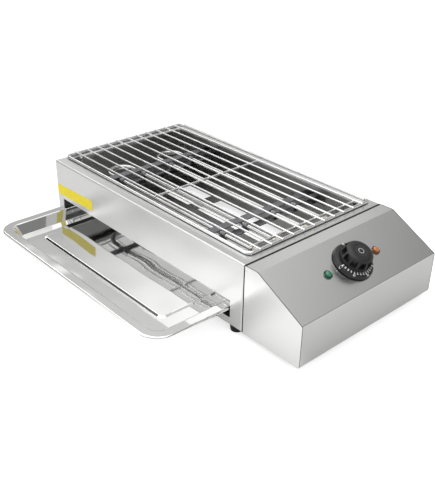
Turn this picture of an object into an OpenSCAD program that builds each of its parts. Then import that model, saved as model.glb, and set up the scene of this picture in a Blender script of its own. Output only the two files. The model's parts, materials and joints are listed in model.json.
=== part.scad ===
// Tabletop electric barbecue grill: folded steel fire box with a lift-off wire grid,
// two U-shaped tubular heaters, a pressed drip tray that slides out of the front wall,
// and a sloped control box with a thermostat knob and two pilot lamps.
// Built with x along the grid bars, y from the front wall to the back, z up from the floor.

/* [Fire box] */
// Length of the fire box, along the grid bars
body_l = 455; // [400:1:560]
// Depth of the fire box, front wall to back wall
body_d = 280; // [262:1:340]
// Height of the folded shell, without the feet
body_h = 104; // [100:1:130]
// Thickness of the folded steel sheet
sheet_t = 1; // [0.8:0.1:1.2]
// Outside radius of the folded edges
edge_r = 2.5; // [2:0.1:4]
// Width of the top rim along the front and the back
rim_w = 25; // [20:1:28]
// Width of the top rim at the two ends
end_rim_w = 13; // [11:1:16]
// Depth of the lip turned down at the rim's inner edge
lip_h = 7; // [4:0.5:9]
// Width of the flange turned in along the bottom
flange_w = 22; // [18:1:26]

/* [Tray slot] */
// Metal left in the front wall at each end of the slot
slot_end = 20.5; // [17.5:0.5:30]
// Height of the slot
slot_h = 27; // [24:1:30]
// Height of the slot's lower edge over the shell's bottom
slot_z = 12; // [9:0.5:14]

/* [Drip tray] */
// Depth of the tray, front to back
tray_d = 262; // [230:1:262]
// Height of the tray
tray_h = 16; // [13:0.5:18]
// Thickness of the tray's sheet
tray_t = 0.8; // [0.6:0.1:1]
// Corner radius of the tray
tray_r = 32; // [28:1:38]
// Width of the tray's flat rim
tray_rim_w = 15; // [12:0.5:18]
// Horizontal run of the tray's sloped wall
tray_slope_w = 12; // [9:0.5:12]
// Depth of the rolled outer edge
tray_roll_h = 4; // [3:0.5:5]
// Width of the gutter round the raised panel
gutter_w = 18; // [12:1:26]
// Height of the raised centre panel
panel_rise = 2; // [1:0.5:4]
// How far the tray stands out of the front wall
tray_out = 127; // [0:1:180]

/* [Wire grid] */
// Distance of the grid's end wires from the shell's ends
grid_end = 8.5; // [6:0.5:20]
// Depth of the grid's outer frame, centre to centre
grid_d = 250; // [236:1:252]
// Wire diameter of the frame
frame_wire = 5; // [4:0.5:6]
// Wire diameter of the bars
bar_wire = 3; // [2.5:0.5:4]
// Wire diameter of the cross bars under them
cross_wire = 4; // [3:0.5:5]
// Spaces between the long bars
bar_gaps = 10; // [8:1:14]
// Space between the frame and the outermost bars
bar_margin = 19; // [14:0.5:26]
// Bend radius of the frame's corners
frame_r = 9; // [7:0.5:12]
// Distance of the outer cross bars from the end wires
cross_inset = 15; // [12:1:30]
// How far the grid lies towards the back
grid_back = 6; // [0:0.5:6]

/* [Heaters] */
// Diameter of the heater tube
heater_wire = 8; // [6.5:0.5:9]
// Distance between the two legs of a heater
heater_pitch = 44; // [36:1:50]
// Distance between the middles of the two heaters
heater_spacing = 104; // [96:1:116]
// Height of the heater tubes over the shell's bottom
heater_z = 80; // [72:0.5:84]
// Distance of the bends from the left end
heater_inset = 45; // [30:1:80]
// Distance of the first pair of straps from the fire box's left end
strap_first = 78; // [70:1:120]
// Distance of the second pair of straps from its right end
strap_inset = 124; // [110:1:170]
// Diameter of the threaded ferrules
ferrule_d = 14; // [12:0.5:15]
// Length of a ferrule inside the fire box
ferrule_l = 30; // [18:1:36]

/* [Control box] */
// Length of the control box
ctl_l = 101.5; // [95:0.5:130]
// Length of its level top strip
ctl_top_l = 22.5; // [18:0.5:30]
// Height of its upright end face
ctl_face_h = 63; // [55:0.5:72]
// Gap between the fire box and the control box
seam_gap = 1; // [0.5:0.1:2]

/* [Knob and lamps] */
// Diameter of the knob's skirt
skirt_d = 60; // [52:1:66]
// Thickness of the skirt
skirt_h = 6; // [5:0.5:8]
// Diameter of the knob's grip
grip_d = 44; // [38:1:48]
// Height of the whole knob over the panel
knob_h = 26; // [22:1:32]
// Number of finger recesses round the grip
grip_flutes = 8; // [6:1:12]
// Diameter of the thermostat's shaft
shaft_d = 6; // [5:0.5:8]
// Distance of each lamp from the knob's middle
lamp_pitch = 50; // [44:1:60]
// Diameter of the lamp heads
lamp_d = 13; // [11:0.5:14]
// Height of the lamp heads
lamp_h = 5; // [4:0.5:7]

/* [Feet and cable inlet] */
// Height of the rubber feet
foot_h = 10; // [8:0.5:16]
// Diameter of the rubber feet at the top
foot_d = 20; // [16:0.5:21]
// Bore of the cable gland
gland_bore = 7.5; // [6:0.1:9]

/* [Hidden] */

$fn = 48;
cut = 1;          // overrun of every cut
fit = 0.3;        // clearance between curved or sliding faces
shaft_fit = 0.05; // radial clearance of the shaft's bearings
seat = 0.05;      // radial clearance of a tube held in its ferrule
wire_sink = 0.6;  // depth by which welded wires sink into each other

// Control box outline
top_flange_w = 16;
ctl_x = body_l + seam_gap;
ctl_drop = body_h - ctl_face_h;
slope_run = ctl_l - ctl_top_l;
slope_a = atan2(ctl_drop, slope_run);
slope_len = norm([ctl_drop, slope_run]);
total_l = ctl_x + ctl_l;

// Cable gland on the back of the control box
gland_d = gland_bore * 1.9;
gland_out = 11;
gland_x = ctl_x + ctl_l * 0.6;
gland_z = 30;

// Middle of the whole part, with the tray standing out
mid_x = total_l / 2;
mid_y = (body_d + gland_out - tray_out) / 2;

// Tray and slot
slot_shift = 3.5;
slot_l = body_l - 2 * slot_end;
slot_x = slot_end - slot_shift;
tray_side_gap = 1.5;
tray_l = slot_l - 2 * tray_side_gap;
tray_z = slot_z + fit;
tray_mid_x = slot_x + slot_l / 2;
panel_inset = tray_r + gutter_w;
panel_corner_r = 6;
panel_step_w = 3;

// Rails that carry the tray's rim
rail_lower_z = tray_z + tray_h - tray_roll_h - fit;
rail_upper_z = slot_z + slot_h + 2 * sheet_t;
rail_reach = 8;
rail_front_gap = 2;
rail_l = body_d - 2 * sheet_t - 2 * rail_front_gap;

// Inner wall that carries the heaters
divider_gap = 18;
divider_x = body_l - divider_gap;
divider_top = body_h - lip_h - 2 * sheet_t;

// Levels of the grid over the shell's bottom
frame_z = body_h + frame_wire / 2;
bar_z = frame_z + (frame_wire - bar_wire) / 2 + wire_sink;
cross_z = bar_z - (bar_wire + cross_wire) / 2 + wire_sink;
grid_l = body_l - 2 * grid_end;
grid_shift = 5;
grid_mid_x = body_l / 2 - grid_shift;
grid_mid_y = body_d / 2 + grid_back;
hook_r = 5;
hook_drop = 6;
hook_play = 0.5;
cross_reach = body_d / 2 - grid_back - rim_w - cross_wire / 2 - hook_play;

// Heaters
heater_mid = [body_d / 2 - heater_spacing / 2, body_d / 2 + heater_spacing / 2];
leg_y = [for (m = heater_mid) for (s = [-1, 1]) m + s * heater_pitch / 2];
cold_end_l = 26;
heater_end_x = divider_x + sheet_t + cold_end_l;
nut_t = 5;
nut_d = ferrule_d * 1.5;
pin_d = 3;
pin_l = 12;

// Support strap across the heaters
strap_w = 14;
strap_t = 1.2;
strap_x = [strap_first, body_l - strap_inset - strap_w / 2];
strap_foot_h = 12;
clip_w = 8;
clip_t = 1.2;

// Panel parts, placed by their distance down the slope
knob_down = slope_len / 2;
stub_h = 3;
knob_gap = 1;
cap_d = grip_d * 0.42;
cap_h = 1.2;
bushing_d = 10;
bushing_h = 2;
lamp_body_d = 10;
lamp_body_h = 24;
stat_w = 40;
stat_l = 36;
stat_h = 26;

// Place in x and z of a point behind the slope
function slope_point(down, depth) = [ctl_x + ctl_top_l + down * cos(slope_a) - depth * sin(slope_a),
    body_h - down * sin(slope_a) - depth * cos(slope_a)];
stat_mid = slope_point(knob_down - stat_l / 2, sheet_t + stat_h / 2);

// Feet
foot_inset = 11;
foot_inset_x = 21;
screw_d = 4;
screw_head_d = 8;
screw_head_h = 1.6;

function wrap(a) = a - 360 * floor((a + 180) / 360);
function unit(v) = v / norm(v);
// Points of the arc of radius r that rounds the corner b between a and c
function corner_arc(a, b, c, r, n = 6) =
    let (u = unit(a - b), v = unit(c - b), half = acos(u * v) / 2,
         mid = b + unit(u + v) * r / sin(half), p = b + u * r / tan(half), q = b + v * r / tan(half),
         a0 = atan2(p[1] - mid[1], p[0] - mid[0]), a1 = atan2(q[1] - mid[1], q[0] - mid[0]))
    [for (i = [0:n]) mid + r * [cos(a0 + wrap(a1 - a0) * i / n), sin(a0 + wrap(a1 - a0) * i / n)]];
// Open line through points, with its inner corners rounded by the radii
function soft_line(pts, radii) = concat([pts[0]],
    [for (i = [1:len(pts) - 2]) each corner_arc(pts[i - 1], pts[i], pts[i + 1], radii[i - 1])],
    [pts[len(pts) - 1]]);
function left_of(pts, i) =
    let (a = pts[max(i - 1, 0)], b = pts[min(i + 1, len(pts) - 1)], d = unit(b - a)) [-d[1], d[0]];
// Closed outline of a sheet of thickness t to the left of a line
function sheet(pts, t) = concat(pts,
    [for (i = [len(pts) - 1:-1:0]) pts[i] + t * left_of(pts, i)]);
// Control box outline moved inwards by d, with its corners rounded by r and a flange at each end
function box_line(d, r) = soft_line([[d, body_h - top_flange_w], [d, body_h - d],
    [ctl_top_l - d * tan(slope_a / 2), body_h - d], [ctl_l - d, ctl_face_h - d * tan((90 - slope_a) / 2)],
    [ctl_l - d, d], [ctl_l - flange_w, d]], [r, r, r, r]);
function back_line(pts) = [for (i = [len(pts) - 1:-1:0]) pts[i]];

module placed() {
    translate([-mid_x, -mid_y, 0]) children();
}

module on_shell() {
    translate([0, 0, foot_h]) children();
}

// Stands the child on the slope, down from its top fold, with z out of the panel
module on_slope(down, y) {
    translate([ctl_x + ctl_top_l, y, body_h]) rotate([0, slope_a, 0]) translate([down, 0, 0]) children();
}

// Sweeps a profile round a rectangle whose corners have the radius rc; the profile's x runs outwards
module ring_sweep(lx, ly, rc) {
    for (side = [0, 1]) {
        mirror([side, 0, 0]) translate([lx / 2 - rc, ly / 2 - rc, 0])
            rotate([90, 0, 0]) linear_extrude(ly - 2 * rc) children();
        mirror([0, side, 0]) translate([rc - lx / 2, ly / 2 - rc, 0])
            rotate([90, 0, 90]) linear_extrude(lx - 2 * rc) children();
        for (end = [0, 1])
            mirror([side, 0, 0]) mirror([0, end, 0]) translate([lx / 2 - rc, ly / 2 - rc, 0])
                rotate_extrude(angle = 90) children();
    }
}

module round_bar(from, to, d) {
    v = to - from;
    translate(from) rotate([0, acos(v[2] / norm(v)), atan2(v[1], v[0])]) cylinder(d = d, h = norm(v));
}

// Round wire or lead through points, with a ball at each turn
module wire(pts, d) {
    for (i = [0:len(pts) - 2]) round_bar(pts[i], pts[i + 1], d);
    for (i = [1:1:len(pts) - 2]) translate(pts[i]) sphere(d = d);
}

// Folded wall seen in section: upright, with a round fold at its top and bottom
module shell_section() {
    translate([edge_r - sheet_t, edge_r]) square([sheet_t, body_h - 2 * edge_r]);
    for (end = [0, 1]) translate([0, end * (body_h - 2 * edge_r) + edge_r]) mirror([0, 1 - end])
        intersection() {
            difference() {
                circle(edge_r);
                circle(edge_r - sheet_t);
            }
            square(edge_r);
        }
}

module shell_plate(z, border_x, border_y) {
    translate([edge_r, edge_r, z]) difference() {
        cube([body_l - 2 * edge_r, body_d - 2 * edge_r, sheet_t]);
        translate([border_x - edge_r, border_y - edge_r, -cut])
            cube([body_l - 2 * border_x, body_d - 2 * border_y, sheet_t + 2 * cut]);
    }
}

module body_shell() {
    lip_notch = 3;
    color("gainsboro") placed() on_shell() difference() {
        union() {
            translate([body_l / 2, body_d / 2, 0]) ring_sweep(body_l, body_d, edge_r) shell_section();
            shell_plate(body_h - sheet_t, end_rim_w, rim_w);
            shell_plate(0, flange_w, flange_w);
            for (y = [rim_w - sheet_t, body_d - rim_w])
                translate([end_rim_w + lip_notch, y, body_h - lip_h])
                    cube([body_l - 2 * (end_rim_w + lip_notch), sheet_t, lip_h - sheet_t / 2]);
            for (x = [end_rim_w - sheet_t, body_l - end_rim_w])
                translate([x, rim_w + lip_notch, body_h - lip_h])
                    cube([sheet_t, body_d - 2 * (rim_w + lip_notch), lip_h - sheet_t / 2]);
        }
        translate([slot_x, -cut, slot_z]) cube([slot_l, sheet_t + 2 * cut, slot_h]);
        for (y = leg_y) translate([body_l - sheet_t - cut, y, heater_z])
            rotate([0, 90, 0]) cylinder(d = ferrule_d, h = sheet_t + 2 * cut);
        translate([body_l - sheet_t - cut, sensor_y, sensor_z])
            rotate([0, 90, 0]) cylinder(r = capillary_d, h = sheet_t + 2 * cut);
        foot_places() screw_hole();
        panel_screw_places() screw_hole();
        joining_places() screw_hole();
    }
}

// Bottom panel, with two rows of air openings along the front and along the back
vent_end_l = 62;
vent_mid_l = 156;
vent_web = 25;
vent_x = 49;
vent_w = 20;
vent_edge = [28, 65];
module bottom_panel() {
    color("silver") placed() on_shell() translate([0, 0, sheet_t]) difference() {
        translate([edge_r, edge_r, 0]) cube([body_l - 2 * edge_r, body_d - 2 * edge_r, sheet_t]);
        for (y = vent_edge) for (from_back = [0, 1]) {
            row_y = from_back * (body_d - vent_w) + (1 - 2 * from_back) * y;
            for (far = [0, 1]) vent(vent_x + far * (vent_end_l + vent_mid_l + 2 * vent_web), row_y, vent_end_l);
            vent(vent_x + vent_end_l + vent_web, row_y, vent_mid_l);
        }
        foot_places() screw_hole();
        panel_screw_places() screw_hole();
    }
}

module vent(x, y, l) {
    translate([x, y, -cut]) cube([l, vent_w, sheet_t + 2 * cut]);
}

module screw_hole() {
    translate([0, 0, -cut]) cylinder(d = screw_d + 2 * seat, h = sheet_t + 2 * cut);
}

module foot_places() {
    for (x = [foot_inset_x, body_l - foot_inset_x]) for (y = [foot_inset, body_d - foot_inset])
        translate([x, y, 0]) children();
}

module panel_screw_places() {
    for (x = [body_l / 4, body_l * 3 / 4]) for (y = [foot_inset, body_d - foot_inset])
        translate([x, y, 0]) children();
}

// Wall between the fire box and the heater terminals
divider_flange = 12;
module divider_wall() {
    bottom = 2 * sheet_t;
    side = sheet_t + fit;
    color("silver") placed() on_shell() difference() {
        union() {
            translate([divider_x, side, bottom]) cube([sheet_t, body_d - 2 * side, divider_top - bottom]);
            translate([divider_x, side, bottom]) cube([divider_flange, body_d - 2 * side, sheet_t]);
            for (y = [side, body_d - side - sheet_t]) translate([divider_x, y, bottom])
                cube([divider_flange, sheet_t, divider_top - bottom]);
        }
        for (y = leg_y) translate([divider_x - cut, y, heater_z])
            rotate([0, 90, 0]) cylinder(d = ferrule_d - 2 * thread_depth + 2 * seat, h = sheet_t + 2 * cut);
        translate([divider_x - cut, sensor_y, sensor_z])
            rotate([0, 90, 0]) cylinder(r = capillary_d, h = sheet_t + 2 * cut);
    }
}

// Rail in section: web on the wall, a shelf under the tray's rim and a keeper over it
module tray_rail(reach) {
    h = rail_upper_z - rail_lower_z + 2 * sheet_t;
    translate([0, sheet_t + rail_front_gap, rail_lower_z - sheet_t]) {
        cube([sheet_t, rail_l, h]);
        cube([reach, rail_l, sheet_t]);
        translate([0, 0, h - sheet_t]) cube([reach, rail_l, sheet_t]);
    }
}

module tray_rail_left() {
    color("silver") placed() on_shell() translate([sheet_t, 0, 0])
        tray_rail(tray_mid_x - tray_l / 2 + rail_reach - sheet_t);
}

module tray_rail_right() {
    color("silver") placed() on_shell() translate([divider_x, 0, 0]) mirror([1, 0, 0])
        tray_rail(divider_x - tray_mid_x - tray_l / 2 + rail_reach);
}

// Tray edge in section, from the gutter's floor out to the rolled edge
module tray_section() {
    top = tray_h - tray_t;
    edge = tray_r - tray_t;
    polygon(sheet(soft_line(
        [[0, 0], [tray_r - tray_rim_w - tray_slope_w, 0], [tray_r - tray_rim_w, top], [edge, top],
         [edge, top - tray_roll_h + tray_t]], [3, 2.4, 2] * tray_t), tray_t));
}

// Step of the raised panel in section, from the panel's floor out to the gutter
module panel_section() {
    polygon(sheet(soft_line(
        [[0, panel_rise], [panel_corner_r, panel_rise], [panel_corner_r + panel_step_w, 0],
         [panel_corner_r + 2 * panel_step_w, 0]], [1.5, 1.5] * tray_t), tray_t));
}

module drip_tray() {
    floor_l = tray_l - 2 * tray_r;
    floor_d = tray_d - 2 * tray_r;
    panel_l = tray_l - 2 * panel_inset;
    panel_d = tray_d - 2 * panel_inset;
    hole_r = panel_corner_r + 2 * panel_step_w;
    color("lightgray") placed() on_shell() translate([tray_mid_x, tray_d / 2 - tray_out, tray_z]) {
        ring_sweep(tray_l, tray_d, tray_r) tray_section();
        difference() {
            translate([-floor_l / 2, -floor_d / 2, 0]) cube([floor_l, floor_d, tray_t]);
            translate([0, 0, -cut]) linear_extrude(tray_t + 2 * cut) {
                square([panel_l - 2 * hole_r, panel_d], center = true);
                square([panel_l, panel_d - 2 * hole_r], center = true);
                for (x = [-1, 1]) for (y = [-1, 1])
                    translate([x * (panel_l / 2 - hole_r), y * (panel_d / 2 - hole_r)]) circle(hole_r);
            }
        }
        ring_sweep(panel_l, panel_d, hole_r) panel_section();
        translate([hole_r - panel_l / 2, hole_r - panel_d / 2, panel_rise])
            cube([panel_l - 2 * hole_r, panel_d - 2 * hole_r, tray_t]);
    }
}

// Flat ring of round wire with bent corners, about the origin
module wire_ring(lx, ly, r, d) {
    for (side = [-1, 1]) {
        translate([r - lx / 2, side * ly / 2, 0]) rotate([0, 90, 0]) cylinder(d = d, h = lx - 2 * r);
        translate([side * lx / 2, r - ly / 2, 0]) rotate([-90, 0, 0]) cylinder(d = d, h = ly - 2 * r);
    }
    for (a = [0, 90, 180, 270]) {
        sx = (a == 0 || a == 270) ? 1 : -1;
        sy = (a < 180) ? 1 : -1;
        translate([sx * (lx / 2 - r), sy * (ly / 2 - r), 0]) rotate([0, 0, a])
            rotate_extrude(angle = 90) translate([r, 0]) circle(d = d);
    }
}

// Cross bar with both ends bent down into the opening
module hooked_bar(reach, d) {
    rotate([-90, 0, 0]) translate([0, 0, hook_r - reach]) cylinder(d = d, h = 2 * (reach - hook_r));
    for (end = [0, 1]) mirror([0, end, 0]) translate([0, reach - hook_r, -hook_r]) {
        rotate([0, -90, 0]) rotate_extrude(angle = 90) translate([hook_r, 0]) circle(d = d);
        translate([0, hook_r, -hook_drop]) cylinder(d = d, h = hook_drop);
    }
}

module wire_grid() {
    bar_span = grid_d - 2 * bar_margin;
    bar_over = bar_wire;
    color("whitesmoke") placed() on_shell() translate([grid_mid_x, grid_mid_y, 0]) {
        translate([0, 0, frame_z]) wire_ring(grid_l, grid_d, frame_r, frame_wire);
        for (i = [0:bar_gaps])
            translate([-grid_l / 2 - bar_over, (i / bar_gaps - 0.5) * bar_span, bar_z])
                rotate([0, 90, 0]) cylinder(d = bar_wire, h = grid_l + 2 * bar_over);
        translate([0, -cross_reach, cross_z]) rotate([-90, 0, 0]) cylinder(d = cross_wire, h = 2 * cross_reach);
        for (s = [-1, 1]) translate([s * (grid_l / 2 - cross_inset), 0, cross_z])
            hooked_bar(cross_reach, cross_wire);
    }
}

// Heater: two straight legs joined by a half-turn
module heater(mid) {
    x0 = heater_inset + heater_pitch / 2;
    translate([0, mid, heater_z]) {
        translate([x0, 0, 0]) rotate([0, 0, 90]) rotate_extrude(angle = 180)
            translate([heater_pitch / 2, 0]) circle(d = heater_wire);
        for (s = [-1, 1]) translate([x0, s * heater_pitch / 2, 0])
            rotate([0, 90, 0]) cylinder(d = heater_wire, h = heater_end_x - x0);
    }
}

module heater_front() {
    color("slategray") placed() on_shell() heater(heater_mid[0]);
}

module heater_back() {
    color("slategray") placed() on_shell() heater(heater_mid[1]);
}

// Ferrules: a smooth collar in the fire box and a threaded tail through the wall
thread_depth = 1;
module heater_ferrules() {
    color("darkgoldenrod") placed() on_shell() for (y = leg_y)
        translate([divider_x, y, heater_z]) rotate([0, 90, 0]) difference() {
            union() {
                translate([0, 0, -ferrule_l]) cylinder(d = ferrule_d, h = ferrule_l);
                translate([0, 0, -nut_t]) cylinder(d = nut_d, h = nut_t, $fn = 6);
                cylinder(d = ferrule_d - 2 * thread_depth, h = divider_gap - fit);
            }
            translate([0, 0, -ferrule_l - cut]) cylinder(d = heater_wire + 2 * seat,
                h = ferrule_l + divider_gap + 2 * cut);
        }
}

module ferrule_nuts() {
    color("darkgoldenrod") placed() on_shell() for (y = leg_y)
        translate([divider_x + sheet_t, y, heater_z]) rotate([0, 90, 0]) difference() {
            cylinder(d = nut_d, h = nut_t, $fn = 6);
            translate([0, 0, -cut]) cylinder(d = ferrule_d - 2 * thread_depth + 2 * seat, h = nut_t + 2 * cut);
        }
}

// Ceramic bead and flat tab on each cold end
tab_w = 6.3;
tab_t = 0.8;
bead_l = 4;
module heater_terminals() {
    color("white") placed() on_shell() for (y = leg_y) translate([heater_end_x, y, heater_z]) {
        rotate([0, 90, 0]) cylinder(d = heater_wire * 0.85, h = bead_l);
        rotate([0, 90, 0]) cylinder(d = pin_d, h = bead_l + pin_l / 2);
        translate([bead_l + pin_l / 3, -tab_w / 2, -tab_t / 2]) cube([pin_l * 2 / 3, tab_w, tab_t]);
    }
}

// Cross straps at two places: one lies over the tubes and one carries them, both turned down at the walls
module cross_strap(x, z) {
    translate([x, sheet_t, z]) cube([strap_w, body_d - 2 * sheet_t, strap_t]);
    for (y = [sheet_t, body_d - sheet_t - strap_t]) translate([x, y, z - strap_foot_h])
        cube([strap_w, strap_t, strap_foot_h + strap_t]);
}

module hold_straps() {
    color("dimgray") placed() on_shell() for (x = strap_x) cross_strap(x, heater_z + heater_wire / 2 + seat);
}

module carry_straps() {
    color("dimgray") placed() on_shell() for (x = strap_x)
        cross_strap(x + strap_w + fit, heater_z - heater_wire / 2 - seat - strap_t);
}

// Saddles that hold each tube down on its carrying strap
clip_foot = 5;
module strap_clips() {
    r = heater_wire / 2 + seat;
    bend = 1.5 * clip_t;
    end = r + clip_foot;
    line = concat([[-end, -r]], corner_arc([-end, -r], [-r, -r], [-r, 0], bend),
        [for (a = [180:-15:0]) r * [cos(a), sin(a)]], corner_arc([r, 0], [r, -r], [end, -r], bend), [[end, -r]]);
    color("silver") placed() on_shell() for (x = strap_x) for (y = leg_y)
        translate([x + strap_w + fit + (strap_w - clip_w) / 2, y, heater_z]) rotate([90, 0, 90])
            linear_extrude(clip_w) polygon(sheet(line, clip_t));
}

// Temperature sensor on the divider wall, with its capillary to the thermostat
sensor_d = 6;
sensor_l = 80;
sensor_z = 64;
sensor_bend = 12;
sensor_y = body_d / 2 + sensor_l / 2 + sensor_bend;
capillary_d = 2;
sensor_off = 7;
module sensor_bulb() {
    x = divider_x - sensor_off;
    color("peru") placed() on_shell() {
        translate([x, body_d / 2 - sensor_l / 2, sensor_z]) rotate([-90, 0, 0]) cylinder(d = sensor_d, h = sensor_l);
        wire([[x, body_d / 2 + sensor_l / 2, sensor_z], [x, sensor_y, sensor_z],
              [sensor_exit_x, sensor_y, sensor_z], [sensor_exit_x, body_d / 2, sensor_z],
              [sensor_exit_x, body_d / 2, stat_mid[1]], [stat_mid[0] - capillary_d / 2, body_d / 2, stat_mid[1]]], capillary_d);
    }
}
sensor_run = 12;
sensor_exit_x = body_l + sensor_run;

module bulb_clips() {
    r = sensor_d / 2 + seat;
    color("silver") placed() on_shell() for (s = [-1, 1])
        translate([divider_x - sensor_off, body_d / 2 + s * sensor_l / 3 - clip_w / 2, sensor_z])
            rotate([-90, 0, 0]) linear_extrude(clip_w) difference() {
                union() {
                    circle(r + clip_t);
                    translate([0, -r - clip_t]) square([sensor_off, 2 * (r + clip_t)]);
                }
                circle(r);
            }
}

// Control box sheet metal
cover_outer = box_line(0, edge_r);
cover_inner = box_line(sheet_t, edge_r - sheet_t);
border_inner = box_line(2 * sheet_t, (edge_r - sheet_t) / 2);

module control_cover() {
    color("darkgray") placed() on_shell() difference() {
        translate([ctl_x, body_d - sheet_t, 0]) rotate([90, 0, 0]) linear_extrude(body_d - 2 * sheet_t)
            polygon(concat(cover_outer, back_line(cover_inner)));
        on_slope(knob_down, body_d / 2) translate([0, 0, -edge_r - cut])
            cylinder(d = bushing_d + 2 * seat, h = edge_r + 2 * cut);
        for (s = [-1, 1]) on_slope(knob_down, body_d / 2 + s * lamp_pitch) translate([0, 0, -edge_r - cut])
            cylinder(d = lamp_body_d + 2 * seat, h = edge_r + 2 * cut);
        cover_screw_places() screw_hole();
        joining_places() translate([0, 0, sheet_t + seam_gap]) screw_hole();
    }
}

// End plate: the outline of the box with a border folded in under the cover
border_w = 9;
module end_plate() {
    linear_extrude(sheet_t) polygon(concat([[0, 0]], cover_outer));
    intersection() {
        linear_extrude(border_w) polygon(concat(cover_inner, back_line(border_inner)));
        translate([edge_r, edge_r, 0]) cube([ctl_l, body_h, border_w]);
    }
}

module control_front_plate() {
    color("white") placed() on_shell() translate([ctl_x, 0, 0]) rotate([90, 0, 0]) mirror([0, 0, 1]) end_plate();
}

module control_back_plate() {
    color("white") placed() on_shell() difference() {
        translate([ctl_x, body_d, 0]) rotate([90, 0, 0]) end_plate();
        translate([gland_x, body_d + cut, gland_z]) rotate([90, 0, 0]) cylinder(d = gland_d + 2 * seat,
            h = sheet_t + 2 * cut);
    }
}

module control_base() {
    base_l = ctl_l - edge_r - fit;
    color("silver") placed() on_shell() difference() {
        translate([ctl_x, sheet_t, sheet_t]) {
            cube([base_l, body_d - 2 * sheet_t, sheet_t]);
            cube([sheet_t, body_d - 2 * sheet_t, flange_w]);
        }
        cover_screw_places() translate([0, 0, sheet_t]) screw_hole();
        joining_places() translate([0, 0, sheet_t + seam_gap]) screw_hole();
    }
}

// Thermostat behind the slope
module thermostat_body() {
    color("ivory") placed() on_shell() on_slope(knob_down, body_d / 2) difference() {
        union() {
            translate([-stat_l / 2, -stat_w / 2, -sheet_t - stat_h]) cube([stat_l, stat_w, stat_h]);
            translate([0, 0, -2 * sheet_t]) cylinder(d = bushing_d, h = 2 * sheet_t + bushing_h);
        }
        translate([0, 0, -stat_h / 2]) cylinder(d = shaft_d + 2 * shaft_fit, h = stat_h);
    }
}

module thermostat_shaft() {
    shaft_l = stat_h / 2 - fit + knob_gap + knob_h * 0.62;
    color("goldenrod") placed() on_shell() on_slope(knob_down, body_d / 2)
        translate([0, 0, fit - stat_h / 2]) difference() {
            cylinder(d = shaft_d, h = shaft_l);
            translate([shaft_d / 4, -shaft_d, stat_h / 2 + bushing_h + knob_gap])
                cube([shaft_d, 2 * shaft_d, shaft_l]);
        }
}

// Knob, about the shaft: a dished skirt under a fluted grip with a round cap
module knob_skirt() {
    r = skirt_d / 2;
    grip_r = grip_d / 2;
    color("#2b2b2b") placed() on_shell() on_slope(knob_down, body_d / 2) translate([0, 0, knob_gap])
        rotate_extrude($fn = 96) polygon(soft_line(
            [[grip_r - sheet_t * 4, 0], [r, 0], [r - skirt_h * 0.3, skirt_h * 0.85], [grip_r + skirt_h * 0.3, skirt_h],
             [grip_r - sheet_t * 4, skirt_h]], [0.1, 0.25, 0.1] * skirt_h));
}

grip_wall = 3;
flute_share = 0.2;
module knob_grip() {
    r = grip_d / 2;
    base = knob_gap + skirt_h;
    h = knob_h - base;
    color("#242424") placed() on_shell() on_slope(knob_down, body_d / 2) difference() {
        translate([0, 0, base]) difference() {
            rotate_extrude($fn = 96) polygon(soft_line(
                [[0, 0], [r, 0], [r * 0.98, h * 0.82], [r * 0.8, h], [0, h]], [0.04, 0.3, 0.2] * h));
            for (i = [0:grip_flutes - 1]) rotate([0, 0, (i + 0.5) * 360 / grip_flutes])
                translate([r - grip_wall, -r * flute_share, -cut]) cube([r, 2 * r * flute_share, h * 0.66 + cut]);
            translate([0, 0, h - cap_h]) cylinder(d = cap_d + 2 * seat, h = cap_h + cut);
        }
        difference() {
            translate([0, 0, base - cut]) cylinder(d = shaft_d + 2 * seat, h = knob_h * 0.62 - base + knob_gap + cut);
            translate([shaft_d / 4 + seat, -shaft_d, bushing_h + 2 * knob_gap])
                cube([shaft_d, 2 * shaft_d, knob_h]);
        }
    }
}

module knob_cap() {
    color("gray") placed() on_shell() on_slope(knob_down, body_d / 2) translate([0, 0, knob_h - cap_h])
        cylinder(d = cap_d, h = cap_h);
}

// Pilot lamps: a domed lens over a flange, on a round body
module lamp_lens() {
    r = lamp_d / 2;
    rotate_extrude() polygon(concat([[0, 0], [r, 0], [r, lamp_h * 0.3]],
        corner_arc([r * 0.92, 0], [r * 0.92, lamp_h], [0, lamp_h], r * 0.5, 8), [[0, lamp_h]]));
}

module lamp_green() {
    color("mediumseagreen") placed() on_shell() on_slope(knob_down, body_d / 2 - lamp_pitch) lamp_lens();
}

module lamp_orange() {
    color("darkorange") placed() on_shell() on_slope(knob_down, body_d / 2 + lamp_pitch) lamp_lens();
}

module lamp_bodies() {
    color("dimgray") placed() on_shell() for (s = [-1, 1])
        on_slope(knob_down, body_d / 2 + s * lamp_pitch) {
            translate([0, 0, -lamp_body_h]) cylinder(d = lamp_body_d, h = lamp_body_h);
            translate([0, 0, -2 * sheet_t - seat]) difference() {
                cylinder(d = lamp_d, h = sheet_t);
                translate([0, 0, -cut]) cylinder(d = lamp_body_d - sheet_t, h = sheet_t + 2 * cut);
            }
        }
}

// Terminal block on the base
block_inset = 40;
block_l = 30;
block_w = 18;
block_h = 16;
block_poles = 3;
module terminal_block() {
    pole = block_l / block_poles;
    color("ivory") placed() on_shell()
        translate([ctl_x + ctl_l / 2 - block_w / 2, body_d - block_inset - block_l / 2, 2 * sheet_t])
            difference() {
                union() {
                    cube([block_w, block_l, block_h * 0.6]);
                    for (i = [0:block_poles - 1]) translate([block_w * 0.2, (i + 0.1) * pole, 0])
                        cube([block_w * 0.6, pole * 0.8, block_h]);
                }
                for (i = [0:block_poles - 1]) for (x = [0.35, 0.65])
                    translate([x * block_w, (i + 0.5) * pole, block_h * 0.5])
                        cylinder(d = pole * 0.28, h = block_h);
            }
}

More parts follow.
